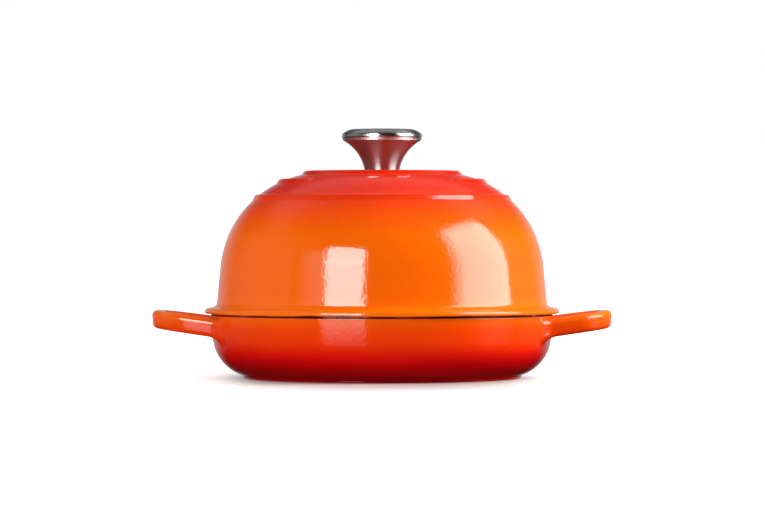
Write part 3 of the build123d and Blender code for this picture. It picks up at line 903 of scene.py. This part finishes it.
class LoopShape:
    """One loop handle on the +X side, swept along its plan and flared into the dish's wall."""

    def __init__(self, sizes, dish):
        self.sizes = sizes
        self.dish = dish
        self.side_bar = Vector((math.cos(sizes.splay), math.sin(sizes.splay)))
        depth, half = sizes.depth, sizes.bar / 2
        draw = depth * math.tan(sizes.draft)
        corners = [
            (-half, depth, sizes.top_rounding, OUTSIDE),
            (half, depth, sizes.top_rounding, OUTSIDE),
            (half - draw, 0.0, sizes.low_rounding, OUTSIDE),
            (draw - half, 0.0, sizes.low_rounding, OUTSIDE),
        ]
        self.ring = [(across, up) for across, up, _ in rounded_path(corners)]

    def point(self, place, heading, across, up):
        """A point of the bar: across grows towards the finger hole, and up from the underside."""
        sizes = self.sizes
        x = place.x - math.sin(heading) * across
        y = place.y + math.cos(heading) * across
        out = x - self.dish.sizes.rim_radius
        top = self.dish.sizes.height - sizes.top_drop + out * math.tan(sizes.top_tilt)
        low = self.dish.sizes.height - sizes.top_drop - sizes.depth + out * math.tan(sizes.underside_tilt)
        return Vector((x, y, low + (top - low) * up / sizes.depth))

    def stations(self):
        """Places and headings along the front half of the loop, from the end of its side bar."""
        sizes = self.sizes
        half = sizes.bar / 2
        lean = math.tan(sizes.splay)
        corner = Vector((
            sizes.reach - half,
            half / math.cos(sizes.splay) - sizes.end_width / 2 - half * lean,
        ))
        radius = sizes.corner_radius - half
        turn = math.pi / 2 - sizes.splay
        run = radius * math.tan(turn / 2)
        start = corner - self.side_bar * run
        centre = start + Vector((-self.side_bar.y, self.side_bar.x)) * radius
        steps = math.ceil(turn / math.radians(5.0))
        result = []
        for step in range(steps + 1):
            heading = sizes.splay + turn * step / steps
            result.append((centre + Vector((math.sin(heading), -math.cos(heading))) * radius, heading))
        end = Vector((corner.x, 0.0))
        result.append(((result[-1][0] + end) / 2, math.pi / 2))
        result.append((end, math.pi / 2))
        return result

    def on_wall(self, start, along):
        """Where a line from a point of the side bar meets the dish's wall, and how far it runs there."""
        near, far = 0.0, 80 * MM
        halvings = 40
        for _ in range(halvings):
            middle = (near + far) / 2
            spot = start + along * middle
            if math.hypot(spot.x, spot.y) > self.dish.outer(spot.z)[0]:
                near = middle
            else:
                far = middle
        return start + along * near, near

    def wall_normal(self, spot):
        """Unit vector out of the dish's wall at a point of it."""
        turn = math.atan2(spot.y, spot.x)
        lean = self.dish.outer(spot.z)[1]
        level = math.cos(lean)
        return Vector((math.cos(turn) * level, math.sin(turn) * level, -math.sin(lean)))

    def moved_on_wall(self, spot, around, up):
        """A point of the wall, moved around the dish and up its wall by two lengths."""
        radius, lean = self.dish.outer(spot.z)
        turn = math.atan2(spot.y, spot.x) + around / radius
        height = spot.z + up * math.cos(lean)
        radius = self.dish.outer(height)[0]
        return Vector((radius * math.cos(turn), radius * math.sin(turn), height))

    def root_column(self, index, start, following):
        """Points from inside the dish's wall, over the flared root, to a point of the straight side bar.

        The index is the point's place in the bar's ring, and the following point lies further out.
        """
        sizes = self.sizes
        along = (start - following).normalized()
        meet, run = self.on_wall(start, along)
        before, after = self.ring[index - 1], self.ring[(index + 1) % len(self.ring)]
        tangent = Vector((after[0] - before[0], after[1] - before[1])).normalized()
        side, rise = -tangent.y, tangent.x

        low_share = 0.35
        lowness = max(0.0, 1.0 - self.ring[index][1] / sizes.depth / low_share)
        outer_flare = sizes.root_top + (sizes.root_side - sizes.root_top) * lowness**2
        flare = sizes.root_hole if side > 0.0 else outer_flare
        lift = 0.8 * MM if rise > 0.0 else sizes.root_under
        foot = self.moved_on_wall(meet, side * flare, rise * lift)
        foot_out = self.wall_normal(foot)
        inward = meet - foot
        inward = (inward - foot_out * inward.dot(foot_out)).normalized()
        reach = min(0.9 * run, 1.5 * MM + abs(side) * flare * 0.9 + abs(rise) * lift * 1.3)
        begin = meet - along * reach

        pull = 0.56
        controls = (foot, foot + inward * (foot - meet).length * pull, begin + (meet - begin) * pull, begin)
        beside = foot - inward * 0.8 * MM
        column = [beside - foot_out * 1.4 * MM, beside - foot_out * 0.12 * MM]
        steps = 12
        for step in range(steps + 1):
            t = step / steps
            weights = ((1 - t) ** 3, 3 * t * (1 - t) ** 2, 3 * t * t * (1 - t), t**3)
            column.append(sum((c * w for c, w in zip(controls, weights)), Vector()))
        return column + [begin.lerp(start, share) for share in (0.1, 0.4, 0.7)]

    def rows(self):
        """All rows of points around the loop, from root to root."""
        stations = self.stations()
        bars = [
            [self.point(place, heading, across, up) for across, up in self.ring]
            for place, heading in stations
        ]
        place, heading = stations[0]
        ahead = [self.point(place + self.side_bar * MM, heading, across, up) for across, up in self.ring]
        columns = [
            self.root_column(index, start, following)
            for index, (start, following) in enumerate(zip(bars[0], ahead))
        ]
        half = [list(row) for row in zip(*columns)] + bars
        mirrored = [[Vector((p.x, -p.y, p.z)) for p in row] for row in reversed(half[:-1])]
        return half + mirrored

    def mesh(self, name, turn):
        """The loop as a closed shell, turned about the upright axis by an angle."""
        rows = self.rows()
        count = len(self.ring)
        cosine, sine = math.cos(turn), math.sin(turn)
        vertices = [
            (p.x * cosine - p.y * sine, p.x * sine + p.y * cosine, p.z) for row in rows for p in row
        ]
        sides = tube_faces(len(rows), count)
        last = (len(rows) - 1) * count
        ends = [[last + count - 1 - index for index in range(count)], list(range(count))]
        mesh = bpy.data.meshes.new(name)
        mesh.from_pydata(vertices, [], sides + ends)
        mesh.polygons.foreach_set("use_smooth", [True] * len(sides) + [False] * len(ends))
        mesh.update()
        return mesh


class CLOCHE_OT_dish(bpy.types.Operator):
    """Build the dish with its two loop handles as one enamelled casting"""

    bl_idname = "cloche.dish"
    bl_label = "Dish"

    def execute(self, context):
        settings = context.scene.cloche
        shape = DishShape(settings.dish)
        section = divided(rounded_path(shape.section()), SECTION_RUN)
        columns = [2 * math.pi * step / COLUMNS for step in range(COLUMNS)]
        pan = turned_mesh("pan", section, columns)
        loop = LoopShape(settings.loops, shape)
        loops = [loop.mesh("loop", turn) for turn in (0.0, math.pi)]
        mesh = joined("dish_casting", [pan, *loops])
        finishes = [
            enamel("dish enamel", DISH_STOPS, settings.enamel),
            black_enamel("dish inside enamel", settings.enamel),
            bare_foot("dish foot"),
        ]
        placed(mesh, "dish", "dish_enamel", finishes, "dish")
        return {"FINISHED"}


class CLOCHE_OT_knob(bpy.types.Operator):
    """Finish the steel knob"""

    bl_idname = "cloche.knob"
    bl_label = "Knob"

    def execute(self, context):
        look = context.scene.cloche.steel
        sizes = context.scene.cloche.knob
        skirt = steel("knob skirt steel", look.satin[:], look.polish + 0.1, stretch=0.85, metal=0.93)
        satin_top = sizes.foot_height + sizes.skirt_height + sizes.satin_edge
        cap = steel(
            "knob cap steel", look.bright[:], look.polish + 0.04, satin_below=satin_top, stretch=0.8
        )
        for node, material in (("knob_skirt", skirt), ("knob_cap", cap)):
            dress(node, material)
        return {"FINISHED"}


class CLOCHE_OT_fixings(bpy.types.Operator):
    """Finish the insert, screw and washer that hold the knob"""

    bl_idname = "cloche.fixings"
    bl_label = "Fixings"

    def execute(self, context):
        look = context.scene.cloche.steel
        for node in ("knob_insert", "knob_screw", "screw_washer"):
            name = node.replace("_", " ") + " steel"
            dress(node, steel(name, look.dull[:], look.dull_polish, turned=1.0))
        return {"FINISHED"}


# Stage


def card(name, corners, strength, soft, band=0.0):
    """A softbox that shows in reflections only, with its corners given as points.

    Soft gives its fades at left, right, low and high, as shares of its width and height, and the band is
    how much brighter it is across its middle.
    """
    mesh = bpy.data.meshes.new(name)
    mesh.from_pydata(corners, [], [(0, 1, 2, 3)])
    layer = mesh.uv_layers.new(name="face")
    for loop, place in zip(layer.data, ((0, 0), (1, 0), (1, 1), (0, 1))):
        loop.uv = place
    material, graph = new_material(name)
    across, up, _ = graph.axes(graph.add("ShaderNodeTexCoord").value("UV"))
    left, right, low, high = soft
    glow = graph.fade(across, 0.0, left) * graph.fade(across, 1.0, 1.0 - right)
    glow = glow * graph.fade(up, 0.0, low) * graph.fade(up, 1.0, 1.0 - high)
    glow = glow * (1.0 + graph.fade(up, 0.44, 0.48) * graph.fade(up, 0.54, 0.5) * band)
    light = graph.add("ShaderNodeEmission", {}, {"Color": WHITE, "Strength": glow * strength})
    graph.surface(light.value("Emission"))
    mesh.materials.append(material)
    piece = bpy.data.objects.new(name, mesh)
    bpy.context.scene.collection.objects.link(piece)
    piece.visible_camera = False
    piece.visible_diffuse = False
    piece.visible_shadow = False
    piece.visible_transmission = False


def standing_corners(low_edge, high_edge, away):
    """Corners of an upright softbox, as seen from the cloche.

    Each edge is the bearings of its left and right ends in degrees from the front, and its height.
    """
    middle = math.radians((low_edge[0] + low_edge[1]) / 2)
    out = Vector((math.sin(middle), -math.cos(middle), 0.0))
    along = Vector((math.cos(middle), math.sin(middle), 0.0))
    corners = []
    for (left, right, height), order in ((low_edge, (0, 1)), (high_edge, (1, 0))):
        for index in order:
            bearing = math.radians((left, right)[index]) - middle
            corners.append(out * away + along * away * math.tan(bearing) + Vector((0.0, 0.0, height)))
    return corners


def floor_point(wall, bearing_deg, away):
    """Where the floor shows in a wall of a radius at a bearing in degrees, at a distance from that wall."""
    bearing = math.radians(bearing_deg)
    x = wall * math.sin(bearing) + away * math.sin(2 * bearing)
    y = -wall * math.cos(bearing) - away * math.cos(2 * bearing)
    return x, y, 0.5 * MM


def lamp(name, place, size, power):
    """A soft lamp that lights the cloche without showing in reflections."""
    aim = Vector((0.0, 0.0, 0.08))
    data = bpy.data.lights.new(name, "AREA")
    data.shape = "DISK"
    data.size = size
    data.energy = power
    piece = bpy.data.objects.new(name, data)
    piece.location = place
    piece.rotation_euler = (aim - Vector(place)).to_track_quat("-Z", "Y").to_euler()
    piece.visible_camera = False
    piece.visible_glossy = False
    bpy.context.scene.collection.objects.link(piece)


class CLOCHE_OT_stage(bpy.types.Operator):
    """Set up the floor, the white room, the lamps and the camera"""

    bl_idname = "cloche.stage"
    bl_label = "Stage"

    def execute(self, context):
        look = context.scene.cloche.studio
        dish = context.scene.cloche.dish
        self.room(context, look)
        self.floor(dish.foot_radius - dish.foot_width / 2)
        self.lamps(look, dish)
        self.camera(context, look)
        context.scene.view_settings.view_transform = "Standard"
        return {"FINISHED"}

    def room(self, context, look):
        """White to the camera, even light on the cloche, and a dim studio in reflections."""
        world = bpy.data.worlds.new("studio")
        context.scene.world = world
        world.use_nodes = True
        graph = Graph(world.node_tree)
        side, behind, up = graph.axes(graph.add("ShaderNodeTexCoord").value("Generated"))
        rear = graph.fade(behind, 0.5, 0.98) * graph.fade(up, -0.3, -0.03)
        rear = rear * (0.2 + graph.fade(up, 0.4, 0.06))
        overhead = graph.fade(up, 0.5, 0.72) * graph.fade(behind, -0.1, 0.35)
        sides = graph.fade(side * side, 0.45, 0.9) * graph.fade(up, -0.3, 0.0)
        seen = 0.01 + rear * look.rear + sides * look.sides + overhead * look.overhead
        even = look.ambient * (0.92 + graph.fade(up, -0.4, 0.8) * 0.14)
        path = graph.add("ShaderNodeLightPath")
        is_glossy, is_camera = path.value("Is Glossy Ray"), path.value("Is Camera Ray")
        level = is_glossy * seen + (1.0 - is_glossy) * even
        level = is_camera + (1.0 - is_camera) * level
        light = graph.add("ShaderNodeBackground", {}, {"Color": WHITE, "Strength": level})
        graph.surface(light.value("Background"), "ShaderNodeOutputWorld")

    def floor(self, foot_middle):
        """A pale floor that keeps the shadow, and that the camera sees through from below.

        It starts under the foot ring, so that light from below reaches the underside. Light that it throws
        back on the cloche has a tint of its own, paler at the left. To the camera it is painted darker and
        pinker near the cloche, and darker at the right, as a painted shadow with painted red bounce light.
        """
        steps = 96
        radii = (foot_middle, 0.4, 2.0, 12.0, 60.0)
        turns = [2 * math.pi * step / steps for step in range(steps)]
        vertices = [
            (radius * math.cos(turn), radius * math.sin(turn), 0.0) for radius in radii for turn in turns
        ]
        mesh = bpy.data.meshes.new("floor")
        mesh.from_pydata(vertices, [], tube_faces(len(radii), steps))
        material, graph = new_material("floor")
        seen = graph.add("ShaderNodeLightPath").value("Is Camera Ray")
        x, y, _ = graph.axes(graph.place())
        away = (x * x * 4.0 + y * y) ** 0.5
        # Painted shadow with painted red bounce light: near the cloche the floor that the camera sees is
        # darker and pinker, and darker at the right
        painted_shadow_tint = graph.blend(graph.fade(x, -0.05, 0.06), (0.57, 0.43, 0.41), (0.42, 0.315, 0.3))
        floor_tint_with_painted_shadow = graph.blend(graph.fade(away, 0.11, 0.25), painted_shadow_tint, (0.52, 0.5, 0.49))
        thrown_tint = graph.blend(graph.fade(x, -0.08, 0.16), (0.87, 0.8, 0.76), (0.24, 0.2, 0.19))
        matt = graph.add("ShaderNodeBsdfDiffuse", {}, {"Color": graph.blend(seen, thrown_tint, floor_tint_with_painted_shadow)})
        # The glow that lifts the floor to white is held back near the cloche and in front of it, so that
        # the shadow shows there
        beside = graph.fade((x * x) ** 0.5, 0.082, 0.125) * graph.fade(y, -0.3, -0.05)
        level = seen * (graph.fade(away, 0.13, 0.42) * 0.72 + beside * 0.38)
        glow = graph.add("ShaderNodeEmission", {}, {"Color": WHITE, "Strength": level})
        pale = graph.add("ShaderNodeAddShader", {}, {0: matt.value("BSDF"), 1: glow.value("Emission")})
        clear = graph.add("ShaderNodeBsdfTransparent")
        under = graph.add("ShaderNodeNewGeometry").value("Backfacing")
        shaders = {0: under, 1: pale.value("Shader"), 2: clear.value("BSDF")}
        graph.surface(graph.add("ShaderNodeMixShader", {}, shaders).value("Shader"))
        mesh.materials.append(material)
        piece = bpy.data.objects.new("floor", mesh)
        piece.visible_glossy = False
        bpy.context.scene.collection.objects.link(piece)

    def lamps(self, look, dish):
        """Softboxes for the reflections, one of them lying on the floor, and soft lamps for the light."""
        for name, low_edge, high_edge, away, share, soft, band in SOFTBOXES:
            corners = standing_corners(low_edge, high_edge, away)
            card(name, corners, look.window * share, soft, band)
        left, right, near, far = -21.4, -5.1, 0.055, 0.5
        wall = dish.rim_radius - 2.9 * MM
        sheen = [
            floor_point(wall, bearing, away)
            for bearing, away in ((left, near), (right, near), (right, far), (left, far))
        ]
        card("softbox left sheen", sheen, look.window * 0.2, (0.06, 0.06, 0.26, 0.1))
        for name, place, size in LAMPS:
            lamp(name, place, size, getattr(look, name))

    def camera(self, context, look):
        """A long lens at the photograph's place."""
        data = bpy.data.cameras.new("camera")
        data.sensor_width = 36.0
        data.lens = data.sensor_width * look.distance / look.picture_width
        data.clip_end = 200.0
        piece = bpy.data.objects.new("camera", data)
        piece.location = (look.aim_side, -look.distance, look.eye_height)
        aim = Vector((look.aim_side, 0.0, look.aim_height))
        piece.rotation_euler = (aim - piece.location).to_track_quat("-Z", "Y").to_euler()
        context.scene.collection.objects.link(piece)
        context.scene.camera = piece


class CLOCHE_PT_sidebar(bpy.types.Panel):
    """The cloche's pieces and settings."""

    bl_label = "Bread cloche"
    bl_idname = "CLOCHE_PT_sidebar"
    bl_space_type = "VIEW_3D"
    bl_region_type = "UI"
    bl_category = "Cloche"

    def draw(self, context):
        layout = self.layout
        settings = context.scene.cloche
        for operator in OPERATORS:
            layout.operator(operator.bl_idname)
        groups = (
            settings.lid, settings.dish, settings.loops, settings.knob,
            settings.enamel, settings.steel, settings.studio,
        )
        for group in groups:
            box = layout.box()
            for name in group.__annotations__:
                box.prop(group, name)


OPERATORS = (CLOCHE_OT_lid, CLOCHE_OT_dish, CLOCHE_OT_knob, CLOCHE_OT_fixings, CLOCHE_OT_stage)
GROUPS = (LidSizes, DishSizes, LoopSizes, KnobSizes, EnamelLook, SteelLook, StudioLook, ClocheSettings)


def register():
    """Register the classes and the scene's settings."""
    for item in (*GROUPS, *OPERATORS, CLOCHE_PT_sidebar):
        bpy.utils.register_class(item)
    bpy.types.Scene.cloche = bpy.props.PointerProperty(type=ClocheSettings)


def unregister():
    """Remove the classes and the scene's settings."""
    del bpy.types.Scene.cloche
    for item in reversed((*GROUPS, *OPERATORS, CLOCHE_PT_sidebar)):
        bpy.utils.unregister_class(item)


def main():
    """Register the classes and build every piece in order."""
    register()
    bpy.ops.cloche.lid()
    bpy.ops.cloche.dish()
    bpy.ops.cloche.knob()
    bpy.ops.cloche.fixings()
    bpy.ops.cloche.stage()


if __name__ == "__main__":
    main()
